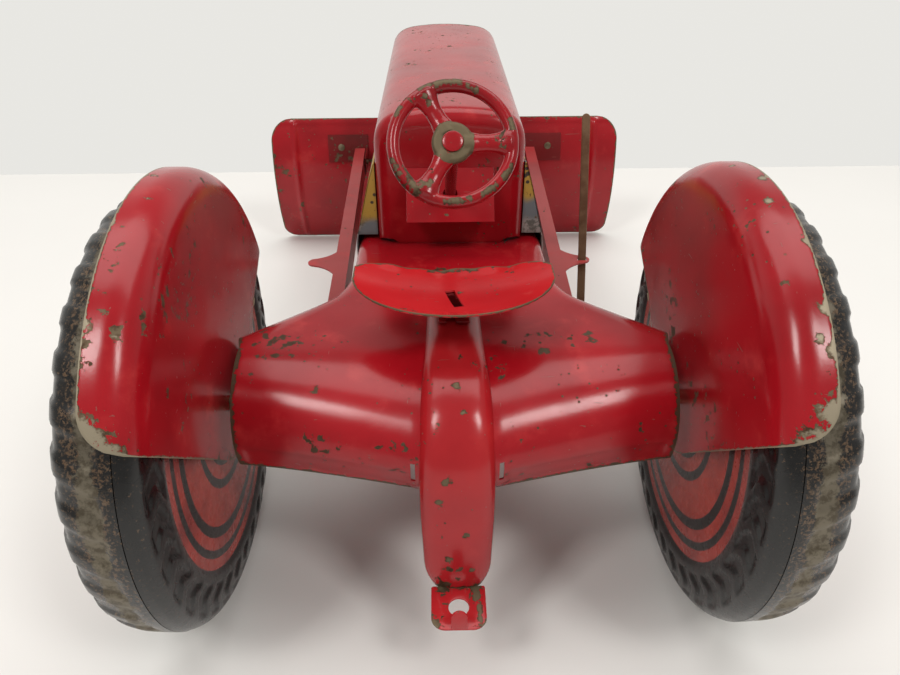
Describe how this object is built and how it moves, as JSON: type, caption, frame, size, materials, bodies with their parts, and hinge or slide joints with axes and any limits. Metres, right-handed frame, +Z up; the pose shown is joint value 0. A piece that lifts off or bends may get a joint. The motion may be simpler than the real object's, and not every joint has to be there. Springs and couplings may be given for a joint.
{
  "type": "toy tractor with dozer blade",
  "caption": "Pressed-steel toy tractor with clamshell rear fenders, large rear wheels, a hitch plate and a dozer blade raised by a hand lever.",
  "frame": {"origin": "on the floor, midway between the back of the rear tyres and the front of the blade, in the middle plane", "axes": "+Z up, +Y forwards towards the blade, +X to the driver's right"},
  "size_m": [0.262, 0.4104, 0.1952],
  "materials": {
    "red_paint": "glossy baked enamel, chipped and scratched",
    "bare_steel": "dull brown tarnished steel",
    "tyre_print": "satin black paint on pressed tin, worn through on the tread",
    "engine_print": "printed tinplate, yellow and grey"
  },
  "bodies": {
    "chassis": {"chassis_pressing": "red_paint", "drawbar_channel": "red_paint", "seat_pan": "red_paint", "seat_bracket": "red_paint", "hood": "red_paint", "radiator_grille": "red_paint", "dash_box": "red_paint", "engine_panel_right": "engine_print", "engine_panel_left": "engine_print", "fender_right": "red_paint", "fender_left": "red_paint", "rear_axle": "bare_steel", "rear_axle_cap_right": "bare_steel", "rear_axle_cap_left": "bare_steel", "arm_pivot_rod": "bare_steel", "arm_pivot_cap_right": "bare_steel", "arm_pivot_cap_left": "bare_steel", "front_bolster": "red_paint", "bolster_rivet": "bare_steel", "front_axle": "bare_steel", "front_axle_cap_right": "bare_steel", "front_axle_cap_left": "bare_steel"},
    "steering": {"steering_wheel": "red_paint", "steering_column": "bare_steel", "steering_rivet": "red_paint"},
    "rear_wheel_right": {"rear_wheel_right_inner": "tyre_print", "rear_wheel_right_outer": "tyre_print", "rear_wheel_right_hub": "bare_steel"},
    "rear_wheel_left": {"rear_wheel_left_inner": "tyre_print", "rear_wheel_left_outer": "tyre_print", "rear_wheel_left_hub": "bare_steel"},
    "front_wheel_right": {"front_wheel_right_inner": "tyre_print", "front_wheel_right_outer": "tyre_print", "front_wheel_right_hub": "bare_steel"},
    "front_wheel_left": {"front_wheel_left_inner": "tyre_print", "front_wheel_left_outer": "tyre_print", "front_wheel_left_hub": "bare_steel"},
    "blade_lift": {"lift_arm_right": "red_paint", "lift_arm_left": "red_paint", "blade": "red_paint", "blade_bracket_right": "red_paint", "blade_bracket_left": "red_paint", "lift_lever": "bare_steel", "blade_rivet_right": "bare_steel", "blade_rivet_left": "bare_steel", "arm_rivet_right": "bare_steel", "arm_rivet_left": "bare_steel"}
  },
  "joints": [
    {"name": "rear_wheel_right_spin", "type": "hinge", "parent": "chassis", "child": "rear_wheel_right", "pos_m": [0.105, -0.12219, 0.083], "axis": [1, 0, 0], "continuous": true},
    {"name": "rear_wheel_left_spin", "type": "hinge", "parent": "chassis", "child": "rear_wheel_left", "pos_m": [-0.105, -0.12219, 0.083], "axis": [1, 0, 0], "continuous": true},
    {"name": "front_wheel_right_spin", "type": "hinge", "parent": "chassis", "child": "front_wheel_right", "pos_m": [0.0225, 0.12781, 0.038], "axis": [1, 0, 0], "continuous": true},
    {"name": "front_wheel_left_spin", "type": "hinge", "parent": "chassis", "child": "front_wheel_left", "pos_m": [-0.0225, 0.12781, 0.038], "axis": [1, 0, 0], "continuous": true},
    {"name": "steering_turn", "type": "hinge", "parent": "chassis", "child": "steering", "pos_m": [0, -0.09419, 0.176], "axis": [0, -0.7955, 0.606], "continuous": true},
    {"name": "blade_raise", "type": "hinge", "parent": "chassis", "child": "blade_lift", "pos_m": [0, -0.06419, 0.0725], "axis": [1, 0, 0], "range_deg": [0, 20]}
  ]
}
